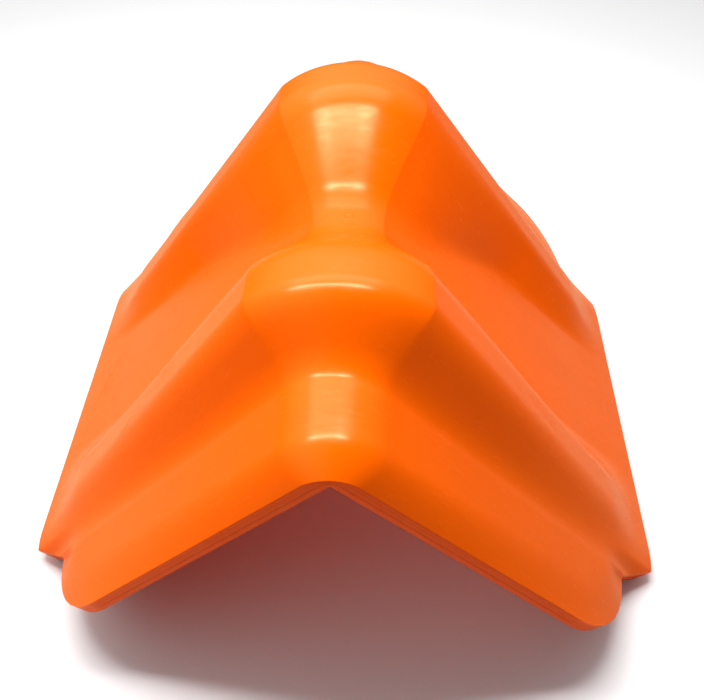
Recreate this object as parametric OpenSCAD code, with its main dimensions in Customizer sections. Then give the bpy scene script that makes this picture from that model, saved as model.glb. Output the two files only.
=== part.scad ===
// Saddle-shaped corner protector for a tie-down strap.
// Two legs meet at 90 degrees along a ridge that runs along Y. The strap lies over the ridge in the
// X direction, in the valley between the two crests, and the load's corner sits under the ridge.
//
// Leg frame: for each leg, s runs down the leg from the inner ridge line, t stands square out of the
// inner face, and y runs along the ridge. Both legs and both ends are the same, so all profiles are
// written for one leg in (s, t) and for the distance w = |y| from the middle.

/* [Overall] */
// Half the length along the ridge
half_length = 109; // [100:1:120]
// Length of each leg's inner face, from the ridge down to the foot
leg_length = 157.5; // [150:0.5:165]
// Thickness of the leg at its foot
foot_thickness = 10; // [9:0.5:11]

/* [Strap valley] */
// Half width of the flat floor of the valley, at the ridge
valley_ridge_half = 2; // [0:0.5:10]
// Half width of the flat floor of the valley, down the legs
valley_leg_half = 28; // [22:0.5:32]
// Distance down the leg at which the floor starts to widen
widen_start = 15; // [12:1:25]
// Distance down the leg at which the floor has its full width
widen_end = 85; // [70:1:100]
// Height of the valley floor above the inner face
valley_height = 9; // [8:0.25:10]
// Radius over the ridge in the valley
valley_radius = 23; // [18:1:25]

/* [Crests] */
// Distance from the middle to where the crest's top begins
crest_inner = 49.5; // [44:0.5:52]
// Distance from the middle to where the crest's top ends
crest_outer = 58; // [54:0.5:62]
// Height of the crest above the inner face, at the ridge
crest_height = 34; // [28:0.5:36]
// How much the crest loses in height for each millimetre down the leg
crest_fall = 0.15; // [0.12:0.002:0.18]
// Radius over the ridge on the crest
crest_radius = 44; // [40:0.5:48]
// Share of the turn over the ridge that the top makes, before the tighter shoulders finish it
top_share = 0.72; // [0.6:0.02:0.9]
// Radius of the shoulders between the top and the flanks
shoulder_radius = 4; // [2:0.5:8]
// Share of the inner wall's width that curves, at its foot and again at its top
inner_blend = 0.28; // [0.2:0.01:0.5]
// Share of the outer wall's width that curves, at its top and again at its foot
outer_blend = 0.4; // [0.2:0.01:0.5]
// Distance down the leg at which the crest starts to fade into the foot
fade_start = 123; // [110:1:135]

/* [End flanges and lobes] */
// Distance from the middle to the foot of the crest's outer wall
flange_start = 82.5; // [80:0.5:86]
// Height of the flange above the inner face, at the ridge and at the foot of the crest's wall
flange_height = 14.4; // [13:0.1:16]
// Height to which the flange has sloped down at its edge, before the rim is rounded off
flange_edge_height = 11.2; // [10:0.1:13]
// How much the flange loses in height for each millimetre down the leg
flange_fall = 0.042; // [0:0.001:0.06]
// Radius over the ridge on the flange
flange_radius = 21; // [16:1:22]
// Height of the rim above the inner face
rim_height = 5.4; // [5:0.1:6]
// Radius over the ridge at the rim
rim_radius = 12; // [9:0.5:12]
// Width over which the rim rounds up to the flange at the ridge
ridge_round = 10.5; // [8:0.5:14]
// Width over which the rim rounds up to the flange at the lobes
lobe_round = 15.5; // [12:0.5:20]
// How steeply the rim rises at its edge before it rounds off, as an exponent
rim_steepness = 2.2; // [1.8:0.1:3]
// Radius of the lobe at each corner of the legs
lobe_radius = 33; // [28:0.5:36]
// Distance down the leg to the lobe's centre
lobe_centre = 106.5; // [104:0.5:114]

/* [Foot block and notch] */
// Half width of the foot between the notches
foot_half_width = 72.5; // [68:0.5:74]
// Width of the slanted edge between the foot and the lobe
notch_width = 8.5; // [6:0.5:10]
// Distance down the leg at which the notch starts
notch_start = 121; // [110:1:130]
// Part of the height that the notch takes away at the foot
notch_depth = 0.45; // [0.2:0.05:0.5]

/* [Walls] */
// Thickness of the liner that lies on the load
liner_thickness = 4; // [3.5:0.1:4.5]
// Radius over the ridge on the liner's upper side
liner_radius = 9; // [7:0.5:9]
// Wall of the shell over the hollow crests, square to the inner face
shell_wall = 6; // [5:0.5:7]
// Radius over the ridge on the roof of the hollow
hollow_radius = 35; // [30:1:38]

/* [Stiffeners] */
// Thickness of each web
web_thickness = 3; // [2:0.5:4]
// Gap between the webs and the roof of the hollow
web_gap = 0.4; // [0.3:0.1:0.8]
// Distance down the leg to the upper cross web
cross_web_first = 42; // [36:1:50]
// Distance down the leg to the lower cross web
cross_web_second = 84; // [76:1:92]
// Distance down the leg at which the long web ends
web_reach = 106; // [96:1:108]

/* [Colours] */
// Colour of the shell
shell_colour = "#ff7a1e";
// Colour of the liner
liner_colour = "#f26a18";
// Colour of the stiffeners
web_colour = "#d95a12";

/* [Hidden] */
root2 = sqrt(2);
// The protector rests on the inner corners of its feet, so the inner ridge is this high
ridge_z = leg_length / root2;
lobe_y = half_length - lobe_radius;
lobe_join = foot_half_width + notch_width;
crest_middle = (crest_inner + crest_outer) / 2;
roof_drop = shell_wall + liner_thickness;
arc_steps = 5;
shoulder_steps = 2;
flank_steps = 14;

// Smooth step from 0 at a to 1 at b
function clamp01(x) = min(1, max(0, x));
function step(a, b, x) = let (q = clamp01((x - a) / (b - a))) q * q * (3 - 2 * q);

// Ramp from 0 at a to 1 at b: straight in the middle, curved over a share of its width at both ends
function ramp(a, b, blend, x) =
    let (q = clamp01((x - a) / (b - a)), bend = 2 * blend * (1 - blend))
    q < blend ? q * q / bend
    : q > 1 - blend ? 1 - pow(1 - q, 2) / bend
    : (q - blend / 2) / (1 - blend);

// A value that changes from valley to crest to flange with the distance w from the middle, at s
function valley_half(s) =
    valley_ridge_half + (valley_leg_half - valley_ridge_half) * step(widen_start, widen_end, s);
function across(s, w, valley, crest, flange) =
    w < crest_middle
        ? valley + (crest - valley) * ramp(valley_half(s), crest_inner, inner_blend, w)
        : crest + (flange - crest) * ramp(crest_outer, flange_start, outer_blend, w);

// Share that is left of a height at a distance in from the rim, as the rim is rounded off
function rim_share(distance, width) = 1 - pow(clamp01(1 - distance / width), rim_steepness);
function ridge_share(w) = rim_share(half_length - w, ridge_round);

// Height before the feet, the notches and the rim are shaped, and the radius over the ridge
function flange_out(w) = clamp01((w - flange_start) / (half_length - flange_start));
function plain_height(s, w) = across(s, w, valley_height, crest_height - crest_fall * s,
    flange_height + (flange_edge_height - flange_height) * flange_out(w) - flange_fall * s);
function outer_radius(w) =
    rim_radius + (across(0, w, valley_radius, crest_radius, flange_radius) - rim_radius) * ridge_share(w);
function outer_shoulder(w) =
    min(outer_radius(w), across(0, w, shoulder_radius, shoulder_radius, flange_radius));

// Lengthwise outline of the foot, lobe and notch: how far down the leg the edge is at w
function lobe_edge(w) = lobe_centre + sqrt(max(0, pow(lobe_radius, 2) - pow(w - lobe_y, 2)));
function leg_end(w) =
    w <= foot_half_width ? leg_length
    : w >= lobe_join ? lobe_edge(w)
    : leg_length + (lobe_edge(lobe_join) - leg_length) * (w - foot_half_width) / notch_width;

// Share of the height left by the notch between the foot and the lobe
function notch(s, w) = 1 - notch_depth * step(notch_start, leg_length, s)
    * step(foot_half_width, lobe_join - 2, w) * (1 - step(lobe_join, lobe_join + 13, w));

// Distance in from the rim, and the height left where the rim is rounded off
function rim_distance(s, w) =
    s < lobe_centre ? half_length - w
    : w < lobe_y ? lobe_round
    : lobe_radius - norm([s - lobe_centre, w - lobe_y]);
function rounded(s, w, height) =
    let (width = ridge_round + (lobe_round - ridge_round) * clamp01(s / lobe_centre))
    rim_height + (max(height, rim_height) - rim_height) * rim_share(rim_distance(s, w), width);

// Height of the outer surface above the inner face
function body_height(s, w) =
    let (
        plain = plain_height(s, w),
        foot = across(s, w, valley_height + 1, foot_thickness, plain),
        fade = w < flange_start ? step(fade_start, leg_length + 4, s) : 0
    )
    (plain + (foot - plain) * fade) * notch(s, w);
function outer_height(s, w) =
    w > lobe_join ? min(body_height(s, w), rounded(s, w, body_height(s, w))) : body_height(s, w);
function fall(w) = outer_height(0, w) - outer_height(1, w);

// Height of the underside of the shell: it lies on the liner, and lifts off it under the crests
function roof_height(s, w) = max(liner_thickness, outer_height(s, w) - roof_drop);

// From a leg's (s, t) to x and z
function to_xz(s, t) = [(s + t) / root2, ridge_z + (t - s) / root2];

// Half profile from the ridge to the edge of the leg: an arc over the ridge, a tighter arc at the
// shoulder, then the flank
function flank_s(w, first, i) =
    let (q = i / flank_steps) first + (leg_end(w) - first) * (1.25 * q - 0.25 * q * q * q);
function half_profile(w, height0, slope, radius, shoulder, upper) =
    let (
        tilt = (1 + slope) / (1 - slope),
        angle = atan(tilt),
        bend = top_share * angle,
        peak = ridge_z + root2 * height0 / (1 - slope),
        turn_x = (radius - shoulder) * sin(bend),
        edge_x = turn_x + shoulder * sin(angle),
        edge_z = peak - tilt * edge_x,
        turn_z = edge_z - shoulder * cos(angle),
        centre_z = turn_z - (radius - shoulder) * cos(bend),
        first = (edge_x - edge_z + ridge_z) / root2
    )
    concat(
        [for (i = [0 : arc_steps]) let (a = bend * i / arc_steps)
            [radius * sin(a), centre_z + radius * cos(a)]],
        [for (i = [1 : shoulder_steps]) let (a = bend + (angle - bend) * i / shoulder_steps)
            [turn_x + shoulder * sin(a), turn_z + shoulder * cos(a)]],
        [for (i = [1 : flank_steps]) let (s = flank_s(w, first, i))
            to_xz(s, upper ? outer_height(s, w) : roof_height(s, w))]
    );
function upper_half(w) =
    half_profile(w, outer_height(0, w), fall(w), outer_radius(w), outer_shoulder(w), true);
function hollow_share(w) = clamp01((roof_height(0, w) - liner_thickness) / 2);
function lower_half(w) =
    let (
        share = hollow_share(w),
        grow = (roof_height(0, w) - liner_thickness) / (crest_height - roof_drop - liner_thickness),
        radius = liner_radius + (hollow_radius - liner_radius) * share * grow
    )
    half_profile(w, roof_height(0, w), fall(w) * share, radius, radius, false);

// Mirrors a half profile into a whole one, from the left edge over the ridge to the right edge
function whole(half) = concat(
    [for (i = [len(half) - 1 : -1 : 1]) [-half[i][0], half[i][1]]],
    half
);
function reversed(list) = [for (i = [len(list) - 1 : -1 : 0]) list[i]];
function ring(y) = [for (p = concat(whole(upper_half(abs(y))), reversed(whole(lower_half(abs(y))))))
    [p[0], y, p[1]]];

// Distances from the middle at which the shell gets a ring, closer where it curves more
function spread(a, b, n) = [for (i = [0 : n - 1]) a + (b - a) * i / n];
half_rings = concat(
    spread(0, valley_ridge_half, 1),
    spread(valley_ridge_half, valley_leg_half, 4),
    spread(valley_leg_half, crest_inner, 5),
    spread(crest_inner, crest_outer, 2),
    spread(crest_outer, foot_half_width, 3),
    spread(foot_half_width, lobe_join, 3),
    spread(lobe_join, half_length - lobe_round, 2),
    [for (i = [0 : 5]) half_length - lobe_round * (1 - sin(90 * i / 6))],
    [half_length]
);
rings = concat([for (i = [len(half_rings) - 1 : -1 : 1]) -half_rings[i]], half_rings);

// A closed body lofted through rings of equal length, whose first half is the upper profile
module loft(ring_list) {
    n = len(ring_list[0]);
    count = len(ring_list);
    points = [for (r = ring_list) each r];
    sides = [for (j = [0 : count - 2], i = [0 : n - 1])
        let (a = j * n + i, b = j * n + (i + 1) % n, c = a + n, d = b + n)
        each [[a, c, b], [b, c, d]]];
    half = n / 2;
    ends = [for (i = [0 : half - 2])
        let (a = i, b = i + 1, c = n - 1 - i, d = n - 2 - i, e = (count - 1) * n)
        each [[a, b, c], [b, d, c], [e + a, e + c, e + b], [e + b, e + c, e + d]]];
    polyhedron(points, concat(sides, ends), convexity = 6);
}

// Outer moulding with the valley, crests, flanges and lobes
module saddle_shell() {
    color(shell_colour) loft([for (y = rings) ring(y)]);
}

// Plan of one leg of the liner, with s along x
module leg_plan() {
    edge = [for (w = half_rings) if (w >= foot_half_width) [leg_end(w), w]];
    polygon(concat(
        [[-3 * liner_thickness, half_length]],
        [[-3 * liner_thickness, -half_length]],
        [for (i = [len(edge) - 1 : -1 : 0]) [edge[i][0], -edge[i][1]]],
        edge
    ));
}
module leg_block() {
    translate([0, 0, ridge_z])
        rotate([0, 45, 0])
            linear_extrude(6 * liner_thickness, center = true) leg_plan();
}

// Cross-section of the liner: two plates at 90 degrees with a rounded outer ridge
module liner_section() {
    top = whole(half_profile(0, liner_thickness, 0, liner_radius, liner_radius, false));
    reach = to_xz(leg_length, liner_thickness);
    foot = to_xz(leg_length, 0);
    arc = [for (p = top) if (abs(p[0]) < liner_radius) p];
    polygon(concat([[-foot[0], foot[1]], [-reach[0], reach[1]]], arc,
        [[reach[0], reach[1]], [foot[0], foot[1]], [0, ridge_z]]));
}

// Inner moulding: the plate that lies on the load and closes the hollow crests
module load_liner() {
    color(liner_colour)
        intersection() {
            rotate([90, 0, 0])
                linear_extrude(2 * half_length, center = true) liner_section();
            union() {
                leg_block();
                mirror([1, 0, 0]) leg_block();
            }
        }
}

// Outline of the web along the crest, from foot to foot over the ridge, in x and z
module spine_outline() {
    roof = lower_half(crest_middle);
    inside = [for (p = roof) if ((p[0] + ridge_z - p[1]) / root2 < web_reach) p - [0, root2 * web_gap]];
    tip = to_xz(web_reach, roof_height(web_reach, crest_middle) - web_gap);
    heel = to_xz(web_reach, liner_thickness);
    upper = whole(concat(inside, [tip, heel]));
    polygon(concat(upper, [[0, ridge_z + root2 * liner_thickness]]));
}

// Outline of a cross web at s down the leg, with y along x and t along y
module cross_outline(s) {
    foot_side = s + web_thickness / 2;
    span = [for (w = [0 : 1.5 : foot_half_width])
        if (roof_height(foot_side, w) - web_gap > liner_thickness + web_gap) w];
    polygon(concat(
        [for (w = span) [w, roof_height(foot_side, w) - web_gap]],
        [[span[len(span) - 1], liner_thickness], [span[0], liner_thickness]]
    ));
}
module cross_web(s) {
    translate([0, 0, ridge_z])
        rotate([0, 45, 0])
            translate([s - web_thickness / 2, 0, 0])
                rotate([90, 0, 90])
                    linear_extrude(web_thickness) cross_outline(s);
}

// Web along the ridge itself, under the top of the crest
module ridge_web() {
    base = ridge_z + root2 * liner_thickness;
    roof_z = [for (w = [0 : 1.5 : foot_half_width]) [w, lower_half(w)[0][1] - 2 * web_gap]];
    inside = [for (p = roof_z) if (p[1] > base + web_gap) p];
    rotate([90, 0, 90])
        linear_extrude(web_thickness, center = true)
            polygon(concat(inside, [[inside[len(inside) - 1][0], base], [inside[0][0], base]]));
}

// Frame of webs that carries the roof of one hollow crest
module stiffener() {
    color(web_colour) {
        translate([0, crest_middle + web_thickness / 2, 0])
            rotate([90, 0, 0])
                linear_extrude(web_thickness) spine_outline();
        ridge_web();
        for (side = [0, 1], s = [cross_web_first, cross_web_second])
            mirror([side, 0, 0]) cross_web(s);
    }
}
module rear_stiffener() {
    stiffener();
}
module front_stiffener() {
    mirror([0, 1, 0]) stiffener();
}

saddle_shell();
load_liner();
front_stiffener();
rear_stiffener();
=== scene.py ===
"""Strap corner protector: a glossy orange saddle-shaped moulding with a liner plate under it."""

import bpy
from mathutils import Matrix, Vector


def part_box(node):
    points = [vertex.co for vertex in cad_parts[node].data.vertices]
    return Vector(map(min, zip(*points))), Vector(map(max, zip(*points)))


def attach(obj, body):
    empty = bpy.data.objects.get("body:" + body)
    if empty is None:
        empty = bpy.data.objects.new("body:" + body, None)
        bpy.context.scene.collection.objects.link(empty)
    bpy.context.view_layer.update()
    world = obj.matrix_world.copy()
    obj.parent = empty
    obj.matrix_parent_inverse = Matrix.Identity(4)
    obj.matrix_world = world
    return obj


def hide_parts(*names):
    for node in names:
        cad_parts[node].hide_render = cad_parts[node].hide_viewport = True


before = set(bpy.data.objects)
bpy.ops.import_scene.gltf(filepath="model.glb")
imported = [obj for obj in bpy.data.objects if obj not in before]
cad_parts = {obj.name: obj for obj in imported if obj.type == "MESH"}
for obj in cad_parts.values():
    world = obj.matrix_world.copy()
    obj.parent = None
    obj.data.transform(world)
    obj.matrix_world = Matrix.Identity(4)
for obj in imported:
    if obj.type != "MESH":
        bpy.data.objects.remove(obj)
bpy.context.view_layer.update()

import math

import bmesh
import bpy
from mathutils import Matrix, Vector

MM = 0.001
ROOT2 = math.sqrt(2)

# ---------------------------------------------------------------- dimensions, in millimetres
# s runs down a leg from the ridge, t stands off the leg's inner face, w is the distance from the middle
HALF_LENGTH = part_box("load_liner")[1].y / MM
LEG_LENGTH = 157.5
LINER = 4.0
RIDGE_Z = LEG_LENGTH / ROOT2

# the strap valley, narrow at the ridge and wider down the legs
VALLEY_RIDGE_HALF, VALLEY_LEG_HALF, WIDEN_START, WIDEN_END = 2.0, 28.0, 15.0, 85.0
VALLEY_HEIGHT, VALLEY_RADIUS = 9.0, 23.0

# the crests, with a flattened top and tighter shoulders
CREST_IN, CREST_OUT = 49.5, 58.0
CREST_HEIGHT, CREST_FALL, CREST_RADIUS = 34.0, 0.15, 44.0
CREST_MIDDLE = (CREST_IN + CREST_OUT) / 2
TOP_SHARE, SHOULDER_RADIUS = 0.72, 4.0
INNER_BLEND, OUTER_BLEND = 0.28, 0.4

# the end flanges and the rounded rim
FLANGE_START, FLANGE_HEIGHT, FLANGE_EDGE = 82.5, 14.4, 11.2
FLANGE_FALL, FLANGE_RADIUS = 0.042, 21.0
RIM_HEIGHT, RIM_RADIUS, RIDGE_ROUND, LOBE_ROUND, RIM_STEEPNESS = 5.4, 12.0, 10.5, 15.5, 2.2

# the round lobes at the corners, the wide feet and the notches between them
LOBE_RADIUS, LOBE_CENTRE = 33.0, 106.5
LOBE_Y = HALF_LENGTH - LOBE_RADIUS
FADE_START, FADE_END = 123.0, LEG_LENGTH + 4.0
FOOT_HALF, FOOT_THICKNESS, FOOT_VALLEY = 72.5, 10.0, VALLEY_HEIGHT + 1.0
NOTCH_WIDTH, NOTCH_START, NOTCH_DEPTH, NOTCH_FLOOR, NOTCH_RISE = 8.5, 121.0, 0.45, 2.0, 13.0
LOBE_JOIN = FOOT_HALF + NOTCH_WIDTH

# the inside: the crests' walls, the liner's two radii over the ridge, and the hollows' radius
SHELL_WALL = 6.0
ROOF_DROP = SHELL_WALL + LINER
ROOF_BLEND = 2.0
INNER_RADIUS, LINER_RADIUS, HOLLOW_RADIUS = 0.3, 9.0, 35.0

# edges: the feet's edge, the lobes' edge, the seam between the mouldings, and the liner's end wall
FOOT_ROUND, LOBE_EDGE_ROUND, SEAM_ROUND, END_WALL_HALF = 1.2, 0.02, 0.08, 0.05
ROUND_SHARE, LEAST_ROUND = 0.4, 0.001
GATE_RADIUS, GATE_WIDTH = 1.35, 0.6

# how finely the meshes follow the formulas
ARC_STEPS, SHOULDER_STEPS, FLANK_STEPS, EDGE_STEPS, EDGE_RINGS = 18, 8, 76, 22, 26
EDGE_REACH = LOBE_ROUND + 6
QUARTER_STEPS = 4
NO_CAP = 1000.0
MERGE_DISTANCE = 2e-6


# ---------------------------------------------------------------- shape
def clamp01(x):
    return min(1.0, max(0.0, x))


def step(a, b, x):
    """From 0 at a to 1 at b, level at both."""
    q = clamp01((x - a) / (b - a))
    return q * q * (3 - 2 * q)


def ramp(a, b, blend, x):
    """From 0 at a to 1 at b: a straight ramp whose two ends curve over that share of its width."""
    q = clamp01((x - a) / (b - a))
    if q < blend:
        return q * q / (2 * blend * (1 - blend))
    if q > 1 - blend:
        return 1 - (1 - q) ** 2 / (2 * blend * (1 - blend))
    return (q - blend / 2) / (1 - blend)


def valley_half(s):
    return VALLEY_RIDGE_HALF + (VALLEY_LEG_HALF - VALLEY_RIDGE_HALF) * step(WIDEN_START, WIDEN_END, s)


def across(s, w, valley, crest, flange):
    """A value that changes from valley to crest to flange with w."""
    if w < CREST_MIDDLE:
        return valley + (crest - valley) * ramp(valley_half(s), CREST_IN, INNER_BLEND, w)
    return crest + (flange - crest) * ramp(CREST_OUT, FLANGE_START, OUTER_BLEND, w)


def rim_share(distance, width):
    """Share of a height that is left at a distance in from the rounded rim."""
    return 1 - clamp01(1 - distance / width) ** RIM_STEEPNESS


def ridge_share(w):
    return rim_share(HALF_LENGTH - w, RIDGE_ROUND)


def outer_radius(w):
    """Radius of the outer face over the ridge."""
    radius = across(0, w, VALLEY_RADIUS, CREST_RADIUS, FLANGE_RADIUS)
    return RIM_RADIUS + (radius - RIM_RADIUS) * ridge_share(w)


def outer_shoulder(w, radius):
    return min(radius, across(0, w, SHOULDER_RADIUS, SHOULDER_RADIUS, FLANGE_RADIUS))


def lobe_edge(w):
    return LOBE_CENTRE + math.sqrt(max(0.0, LOBE_RADIUS**2 - (w - LOBE_Y) ** 2))


def leg_end(w):
    """Length of the leg: the foot's edge, the notch's slanted side, then the lobe's round edge."""
    if w <= FOOT_HALF:
        return LEG_LENGTH
    if w >= LOBE_JOIN:
        return lobe_edge(w)
    return LEG_LENGTH + (lobe_edge(LOBE_JOIN) - LEG_LENGTH) * (w - FOOT_HALF) / NOTCH_WIDTH


def notch(s, w):
    """Share of a height that the notch leaves."""
    along = step(NOTCH_START, LEG_LENGTH, s)
    into = step(FOOT_HALF, LOBE_JOIN - NOTCH_FLOOR, w)
    out = step(LOBE_JOIN, LOBE_JOIN + NOTCH_RISE, w)
    return 1 - NOTCH_DEPTH * along * into * (1 - out)


def rim_distance(s, w):
    """Distance in from the rim, which follows the end and the lobe's round edge."""
    if s < LOBE_CENTRE:
        return HALF_LENGTH - w
    if w < LOBE_Y:
        return LOBE_ROUND
    return LOBE_RADIUS - math.hypot(s - LOBE_CENTRE, w - LOBE_Y)


def rounded(s, w, height):
    width = RIDGE_ROUND + (LOBE_ROUND - RIDGE_ROUND) * clamp01(s / LOBE_CENTRE)
    return RIM_HEIGHT + (max(height, RIM_HEIGHT) - RIM_HEIGHT) * rim_share(rim_distance(s, w), width)


def body_height(s, w):
    """Height of the outer face off the leg's inner face, before the rim is rounded."""
    out = clamp01((w - FLANGE_START) / (HALF_LENGTH - FLANGE_START))
    flange = FLANGE_HEIGHT + (FLANGE_EDGE - FLANGE_HEIGHT) * out - FLANGE_FALL * s
    plain = across(s, w, VALLEY_HEIGHT, CREST_HEIGHT - CREST_FALL * s, flange)
    foot = across(s, w, FOOT_VALLEY, FOOT_THICKNESS, plain)
    fade = step(FADE_START, FADE_END, s) if w < FLANGE_START else 0.0
    return (plain + (foot - plain) * fade) * notch(s, w)


def outer_height(s, w):
    height = body_height(s, w)
    return min(height, rounded(s, w, height)) if w > LOBE_JOIN else height


def fall(w):
    """Slope of the outer face where the leg begins."""
    return outer_height(0, w) - outer_height(1, w)


def roof_height(s, w):
    """Height of the shell's underside, which lies on the liner except in the hollow crests."""
    return max(LINER, outer_height(s, w) - ROOF_DROP)


def to_xz(s, t):
    return (s + t) / ROOT2, RIDGE_Z + (t - s) / ROOT2


def spaced(first, last):
    """Distances down the leg, even at first and then ever closer towards the edge."""
    bend = last - EDGE_REACH
    for i in range(1, FLANK_STEPS + 1):
        yield first + (bend - first) * i / FLANK_STEPS
    for i in range(1, EDGE_STEPS + 1):
        yield bend + (last - bend) * math.sin(math.pi / 2 * i / EDGE_STEPS)


def half_profile(height_at, height0, slope, radius, shoulder, end):
    """Half profile from the ridge to s = end: an arc over the ridge, one at the shoulder, the flank."""
    tilt = (1 + slope) / (1 - slope)
    angle = math.atan(tilt)
    bend = TOP_SHARE * angle
    peak = RIDGE_Z + ROOT2 * height0 / (1 - slope)
    turn_x = (radius - shoulder) * math.sin(bend)
    edge_x = turn_x + shoulder * math.sin(angle)
    edge_z = peak - tilt * edge_x
    turn_z = edge_z - shoulder * math.cos(angle)
    centre_z = turn_z - (radius - shoulder) * math.cos(bend)
    first = (edge_x - edge_z + RIDGE_Z) / ROOT2
    points = []
    for i in range(ARC_STEPS + 1):
        a = bend * i / ARC_STEPS
        points.append((radius * math.sin(a), centre_z + radius * math.cos(a)))
    for i in range(1, SHOULDER_STEPS + 1):
        a = bend + (angle - bend) * i / SHOULDER_STEPS
        points.append((turn_x + shoulder * math.sin(a), turn_z + shoulder * math.cos(a)))
    for s in spaced(first, end):
        points.append(to_xz(s, height_at(s)))
    return points


def quarter(s, t, radius, start):
    """Points of a quarter turn in the leg's plane that starts at angle start and turns clockwise."""
    for i in range(1, QUARTER_STEPS + 1):
        a = start - math.pi / 2 * i / QUARTER_STEPS
        yield s + radius * math.cos(a), t + radius * math.sin(a)


def shell_half(w, cap):
    """Right half of the shell's ring at distance w from the middle, no higher than cap."""
    def height(s):
        return min(cap, outer_height(s, w))

    end = leg_end(w)
    top = height(end)
    room = ROUND_SHARE * (top - LINER)
    turn = min(FOOT_ROUND if w <= LOBE_JOIN else LOBE_EDGE_ROUND, room)
    seam = min(SEAM_ROUND, room)
    wall = clamp01((height(0) - LINER) / (RIM_HEIGHT - LINER))
    radius = LINER_RADIUS + (outer_radius(w) - LINER_RADIUS) * wall
    shoulder = outer_shoulder(w, radius)
    upper = half_profile(height, height(0), height(0) - height(1), radius, shoulder, end - turn)
    edge = list(quarter(end - turn, top - turn, turn, math.pi / 2))
    edge += [(end, LINER + seam)]
    edge += list(quarter(end - seam, LINER + seam, seam, 0.0))
    return upper + [to_xz(s, t) for s, t in edge], end - seam


def shell_under(w, end):
    """Right half of the shell's underside, rounder where it lifts into a hollow."""
    ridge = roof_height(0, w)
    share = clamp01((ridge - LINER) / ROOF_BLEND)
    grow = (ridge - LINER) / (CREST_HEIGHT - ROOF_DROP - LINER)
    radius = LINER_RADIUS + (HOLLOW_RADIUS - LINER_RADIUS) * share * grow
    return half_profile(lambda s: roof_height(s, w), ridge, fall(w) * share, radius, radius, end)


def plate_radius(height):
    """Radius over the liner's ridge at a height in the plate, from its sharp underside to its top."""
    return INNER_RADIUS + (LINER_RADIUS - INNER_RADIUS) * height / LINER


def plate_half(height, end):
    """Right half of a level line across the liner's plate."""
    return half_profile(lambda s: height, height, 0.0, plate_radius(height), plate_radius(height), end)


def liner_half(w, low, high):
    """Right half of the liner's ring at distance w from the middle, between two heights in the plate."""
    end = leg_end(w)
    turn = min(SEAM_ROUND, ROUND_SHARE * (high - low) + LEAST_ROUND)
    edge = list(quarter(end - turn, high - turn, turn, math.pi / 2))
    edge += [(end, low + turn)] + list(quarter(end - turn, low + turn, turn, 0.0))
    return plate_half(high, end - turn) + [to_xz(s, t) for s, t in edge], end - turn


def whole(half):
    return [(-x, z) for x, z in reversed(half[1:])] + half


def mirrored(half):
    """Rows from one end to the other, from rows that run from the middle to an end, each with its side."""
    return [(-1, row) for row in reversed(half)] + [(1, row) for row in half[1:]]


def closed_ring(upper, upper_y, under, under_y):
    """A ring over the top from left to right and back along the underside."""
    ring = [(x, upper_y, z) for x, z in whole(upper)]
    return ring + [(x, under_y, z) for x, z in reversed(whole(under))]


def ring_places(edge):
    """Distances from the middle up to edge, closer where the surface curves more."""
    start = HALF_LENGTH - LOBE_ROUND
    stops = (
        (0, 2), (VALLEY_RIDGE_HALF, 26), (VALLEY_LEG_HALF, 24), (CREST_IN, 10), (CREST_OUT, 16),
        (FOOT_HALF, 14), (LOBE_JOIN, 2), (FLANGE_START, 8),
    )
    places = []
    for (a, n), b in zip(stops, [a for a, _ in stops[1:]] + [start]):
        places += [a + (b - a) * i / n for i in range(n)]
    for i in range(EDGE_RINGS + 1):
        places.append(start + (edge - start) * math.sin(math.pi / 2 * i / EDGE_RINGS))
    return places


def shell_rings():
    half = [(w, NO_CAP) for w in ring_places(HALF_LENGTH)]
    # down the end wall and round into the seam
    for i in range(QUARTER_STEPS + 1):
        a = math.pi / 2 * i / QUARTER_STEPS
        half.append((HALF_LENGTH - SEAM_ROUND * (1 - math.cos(a)), LINER + SEAM_ROUND * (1 - math.sin(a))))
    rings = []
    for sign, (w, cap) in mirrored(half):
        upper, end = shell_half(w, cap)
        w_under = min(w, HALF_LENGTH - SEAM_ROUND)
        rings.append(closed_ring(upper, sign * w, shell_under(w_under, end), sign * w_under))
    return rings


def liner_rings():
    half = [(w, 0.0, LINER) for w in ring_places(HALF_LENGTH - SEAM_ROUND)]
    # round the plate's edges into its end wall
    for i in range(1, QUARTER_STEPS + 1):
        a = math.pi / 2 * i / QUARTER_STEPS
        inset = SEAM_ROUND * (1 - math.cos(a))
        half.append((HALF_LENGTH - SEAM_ROUND * (1 - math.sin(a)), inset, LINER - inset))
    half.append((HALF_LENGTH, LINER / 2 - END_WALL_HALF, LINER / 2 + END_WALL_HALF))
    rings = []
    for sign, (w, low, high) in mirrored(half):
        upper, end = liner_half(w, low, high)
        rings.append(closed_ring(upper, sign * w, plate_half(low, end), sign * w))
    return rings


def loft(name, rings):
    """A closed mesh through rings that have the same number of points."""
    mesh = bpy.data.meshes.new(name)
    bm = bmesh.new()
    rows = [[bm.verts.new((x * MM, y * MM, z * MM)) for x, y, z in ring] for ring in rings]
    for a, b in zip(rows, rows[1:]):
        for i in range(len(a)):
            j = (i + 1) % len(a)
            bm.faces.new((a[i], b[i], b[j], a[j]))
    bmesh.ops.remove_doubles(bm, verts=bm.verts, dist=MERGE_DISTANCE)
    bmesh.ops.dissolve_degenerate(bm, dist=MERGE_DISTANCE, edges=bm.edges)
    bmesh.ops.recalc_face_normals(bm, faces=bm.faces)
    for face in bm.faces:
        face.smooth = True
    bm.to_mesh(mesh)
    bm.free()
    return add_object(name, mesh)


def add_object(name, data):
    made = bpy.data.objects.new(name, data)
    bpy.context.scene.collection.objects.link(made)
    return made


# ---------------------------------------------------------------- shader nodes
def feed(tree, slot, value):
    """Set an input to a plain value, or link it to another node's output."""
    if isinstance(value, bpy.types.NodeSocket):
        tree.links.new(value, slot)
    else:
        slot.default_value = value


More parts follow.
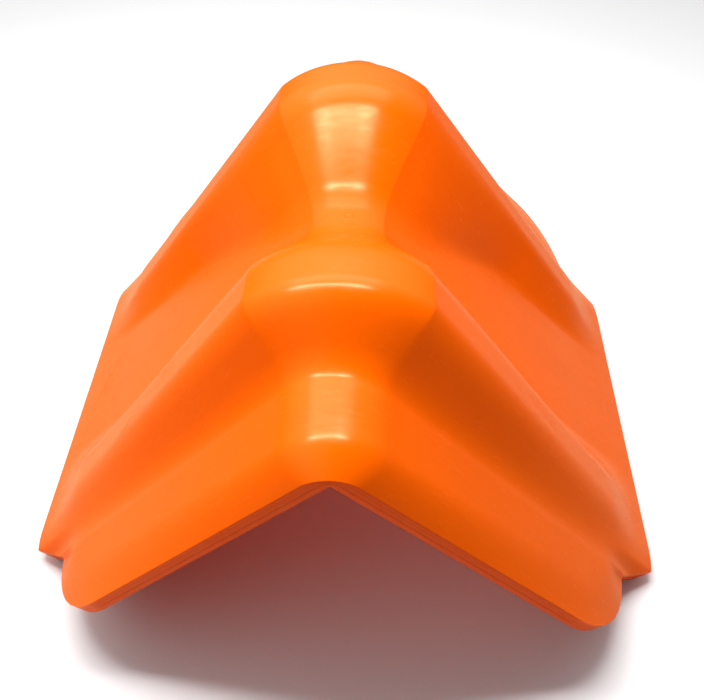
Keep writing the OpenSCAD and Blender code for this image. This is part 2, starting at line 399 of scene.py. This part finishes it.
def node(tree, kind, **values):
    """A shader node with its properties and inputs set by name."""
    made = tree.nodes.new(kind)
    for key, value in values.items():
        if hasattr(made, key):
            setattr(made, key, value)
        else:
            feed(tree, made.inputs[key.replace("_", " ")], value)
    return made


def math_node(tree, operation, *values):
    made = node(tree, "ShaderNodeMath", operation=operation)
    for slot, value in zip(made.inputs, values):
        feed(tree, slot, value)
    return made.outputs["Value"]


def vector_node(tree, operation, first, second):
    made = node(tree, "ShaderNodeVectorMath", operation=operation)
    feed(tree, made.inputs[0], first)
    feed(tree, made.inputs[1], second)
    return made.outputs["Value" if operation == "DOT_PRODUCT" else "Vector"]


def axis(tree, vector, letter):
    return node(tree, "ShaderNodeSeparateXYZ", Vector=vector).outputs[letter]


def stretched(tree, place, scale, turn=(0.0, 0.0, 0.0)):
    return node(tree, "ShaderNodeMapping", Vector=place, Scale=scale, Rotation=turn).outputs["Vector"]


def noise(tree, place, scale, detail, roughness=0.5, distortion=0.0):
    grain = {"Scale": scale, "Detail": detail, "Roughness": roughness, "Distortion": distortion}
    return node(tree, "ShaderNodeTexNoise", Vector=place, **grain).outputs["Fac"]


def remapped(tree, value, start, end, first, last, kind="LINEAR"):
    """Goes from first to last while value goes from start to end."""
    limits = {"From_Min": start, "From_Max": end, "To_Min": first, "To_Max": last}
    return node(tree, "ShaderNodeMapRange", interpolation_type=kind, Value=value, **limits).outputs["Result"]


def mixed(tree, kind, share, first, second):
    colours = {"Fac": share, "Color1": first, "Color2": second}
    return node(tree, "ShaderNodeMixRGB", blend_type=kind, **colours).outputs["Color"]


def bumped(tree, height, strength, distance, **over):
    made = node(tree, "ShaderNodeBump", Height=height, Strength=strength, Distance=distance, **over)
    return made.outputs["Normal"]


# ---------------------------------------------------------------- plastic
def mottled(tree, place, colour, flow):
    """Base colour: a slow drift in tone, and flow marks long down the legs and narrow along the ridge."""
    red, green, blue = colour
    drift = noise(tree, place, 9.0, 3.0, 0.55)
    marks = noise(tree, stretched(tree, place, (6.0, 60.0, 6.0)), 1.0, 4.0, 0.6, 0.4)
    darker = (red * 0.93, green * 0.86, blue, 1)
    lighter = (min(1, red * 1.04), green * 1.12, blue * 1.1, 1)
    tone = mixed(tree, "MIX", drift, darker, lighter)
    return mixed(tree, "MULTIPLY", flow, tone, marks)


def dulled(tree, place, scuffs, rough, wear):
    """Roughness: fine scuffs, and hand smudges that dull the gloss in a few broad patches."""
    scuffed = remapped(tree, scuffs, 0.35, 0.8, rough - 0.04, rough + wear)
    smudges = noise(tree, place, 26.0, 4.0, 0.65, 0.6)
    return math_node(tree, "ADD", scuffed, remapped(tree, smudges, 0.6, 0.72, 0.0, 0.14))


def mould_lines(tree, place):
    """Height of the fine lines that the mould left near the feet, along the ridge's direction."""
    lines = noise(tree, stretched(tree, place, (700.0, 12.0, 700.0)), 1.0, 2.0)
    return math_node(tree, "MULTIPLY", lines, remapped(tree, axis(tree, place, "Z"), 0.012, 0.045, 1.0, 0.0))


def gate_mark(tree, place):
    """Height of the small round mark that the mould's gate left on the ridge, in the middle of the valley."""
    squares = [math_node(tree, "POWER", axis(tree, place, letter), 2.0) for letter in "XY"]
    radius = math_node(tree, "SQRT", math_node(tree, "ADD", *squares))
    off_ring = math_node(tree, "ABSOLUTE", math_node(tree, "SUBTRACT", radius, GATE_RADIUS * MM))
    return remapped(tree, off_ring, 0.0, GATE_WIDTH * MM, 1.0, 0.0, "SMOOTHSTEP")


def relief(tree, place, scuffs):
    """Surface normal: soft waviness, fine scuffs, the mould's lines and the gate's mark."""
    waves = noise(tree, place, 70.0, 2.0)
    soft = bumped(tree, waves, 0.25, 0.0002)
    fine = bumped(tree, scuffs, 0.1, 0.00002, Normal=soft)
    lined = bumped(tree, mould_lines(tree, place), 0.3, 0.00006, Normal=fine)
    return bumped(tree, gate_mark(tree, place), 0.6, 0.0003, Normal=lined)


def plastic(name, colour, rough, flow, wear):
    """Moulded polyethylene with a base colour, a roughness, and shares of flow marks and wear."""
    material = bpy.data.materials.new(name)
    material.use_nodes = True
    tree = material.node_tree
    place = node(tree, "ShaderNodeTexCoord").outputs["Object"]
    scuffs = noise(tree, stretched(tree, place, (90.0, 520.0, 90.0), (0.3, 0.0, 0.25)), 1.0, 6.0, 0.7)
    surface = {
        "Base Color": mottled(tree, place, colour, flow),
        "Roughness": dulled(tree, place, scuffs, rough, wear),
        "Normal": relief(tree, place, scuffs),
        "IOR": 1.45,
        "Specular IOR Level": 0.4,
        "Specular Tint": (1.0, 0.72, 0.4, 1),
    }
    for slot, value in surface.items():
        feed(tree, tree.nodes["Principled BSDF"].inputs[slot], value)
    return material


# ---------------------------------------------------------------- the protector
shell = loft("saddle_shell_skin", shell_rings())
liner = loft("load_liner_skin", liner_rings())
shell.data.materials.append(plastic("shell_plastic", (0.95, 0.123, 0.0), 0.22, 0.12, 0.12))
liner.data.materials.append(plastic("liner_plastic", (0.93, 0.12, 0.0), 0.36, 0.1, 0.12))
webs = plastic("web_plastic", (0.85, 0.1, 0.001), 0.45, 0.1, 0.1)
for name in ("front_stiffener", "rear_stiffener"):
    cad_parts[name].data.materials.clear()
    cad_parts[name].data.materials.append(webs)
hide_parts("saddle_shell")
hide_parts("load_liner")
for piece, slot in ((shell, "shell"), (liner, "liner")):
    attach(piece, "root")


# ---------------------------------------------------------------- floor, light and camera, in metres
FLOOR_HALF = 3.0
SKY_LEFT, SKY_BACK, SKY_LOW, SKY_POWER = 2.6, 3.2, 0.05, 1.7
STRIP_X, STRIP_Y, STRIP_Z, STRIP_LENGTH, STRIP_WIDTH = -0.06, -0.035, 0.45, 0.36, 0.034
LAMP_OFF, LAMP_DROP, LAMP_LENGTH = 0.11, 0.001, 0.05
SOFTBOX_PLACE, SOFTBOX_TARGET, SOFTBOX_SIZE = (-0.05, 0.17, 0.5), (-0.05, 0.05, 0.1), (0.5, 0.22)
STRIP_POWER, LAMP_POWER, SOFTBOX_POWER = 1.6, 0.12, 1.3
CAMERA_PLACE = (0.01148, -0.2338, 0.29835)
PITCH, YAW, ROLL = 0.82094, -0.04397, -0.00466
LENS, SENSOR = 43.3023, 36.0


def floor_plane():
    """Pale to the camera, but tinted where it lights the plastic, as the plastic colours its light."""
    mesh = bpy.data.meshes.new("floor")
    bm = bmesh.new()
    bmesh.ops.create_grid(bm, x_segments=1, y_segments=1, size=FLOOR_HALF)
    bm.to_mesh(mesh)
    bm.free()
    material = bpy.data.materials.new("floor")
    material.use_nodes = True
    tree = material.node_tree
    seen = node(tree, "ShaderNodeLightPath").outputs["Is Camera Ray"]
    colour = mixed(tree, "MIX", seen, (0.8, 0.4, 0.22, 1), (0.92, 0.92, 0.92, 1))
    feed(tree, tree.nodes["Principled BSDF"].inputs["Base Color"], colour)
    feed(tree, tree.nodes["Principled BSDF"].inputs["Roughness"], 0.7)
    mesh.materials.append(material)
    return add_object("floor", mesh)


def studio_sky():
    """A glow high up on the left and behind, dark at the horizon and towards the camera."""
    world = bpy.data.worlds.new("studio")
    world.use_nodes = True
    tree = world.node_tree
    direction = node(tree, "ShaderNodeTexCoord").outputs["Generated"]
    leftward = vector_node(tree, "MULTIPLY", direction, (-1, 1, 1))
    facing = vector_node(tree, "MAXIMUM", leftward, (0, 0, 0))
    glow = vector_node(tree, "DOT_PRODUCT", facing, (SKY_LEFT, SKY_BACK, 0))
    high_up = math_node(tree, "POWER", axis(tree, facing, "Z"), SKY_POWER)
    background = tree.nodes["Background"]
    feed(tree, background.inputs["Strength"], math_node(tree, "MULTIPLY_ADD", glow, high_up, SKY_LOW))
    feed(tree, background.inputs["Color"], (1, 1, 1, 1))
    return world


def area_light(name, place, target, size, power):
    data = bpy.data.lights.new(name, "AREA")
    data.shape = "RECTANGLE"
    data.size, data.size_y = size
    data.energy = power
    light = add_object(name, data)
    light.location = place
    light.rotation_euler = (Vector(target) - Vector(place)).to_track_quat("-Z", "Y").to_euler()


def studio_camera():
    data = bpy.data.cameras.new("camera")
    data.sensor_width = SENSOR
    data.lens = LENS
    camera = add_object("camera", data)
    level = Matrix.Rotation(-YAW, 4, "Z") @ Matrix.Rotation(math.pi / 2 - PITCH, 4, "X")
    camera.matrix_world = Matrix.Translation(CAMERA_PLACE) @ level @ Matrix.Rotation(ROLL, 4, "Z")
    return camera


floor_plane()
bpy.context.scene.view_settings.view_transform = "Standard"
bpy.context.scene.world = studio_sky()

# a narrow strip above the front crest, brighter towards each end, and a broad softbox behind it
strip_place = (STRIP_X, STRIP_Y, STRIP_Z)
area_light("strip", strip_place, (STRIP_X, STRIP_Y, 0), (STRIP_LENGTH, STRIP_WIDTH), STRIP_POWER)
for name, side in (("lamp_left", -1), ("lamp_right", 1)):
    lamp_x = STRIP_X + LAMP_OFF * side
    lamp_place = (lamp_x, STRIP_Y, STRIP_Z - LAMP_DROP)
    area_light(name, lamp_place, (lamp_x, STRIP_Y, 0), (LAMP_LENGTH, STRIP_WIDTH), LAMP_POWER)
area_light("softbox", SOFTBOX_PLACE, SOFTBOX_TARGET, SOFTBOX_SIZE, SOFTBOX_POWER)
bpy.context.scene.camera = studio_camera()
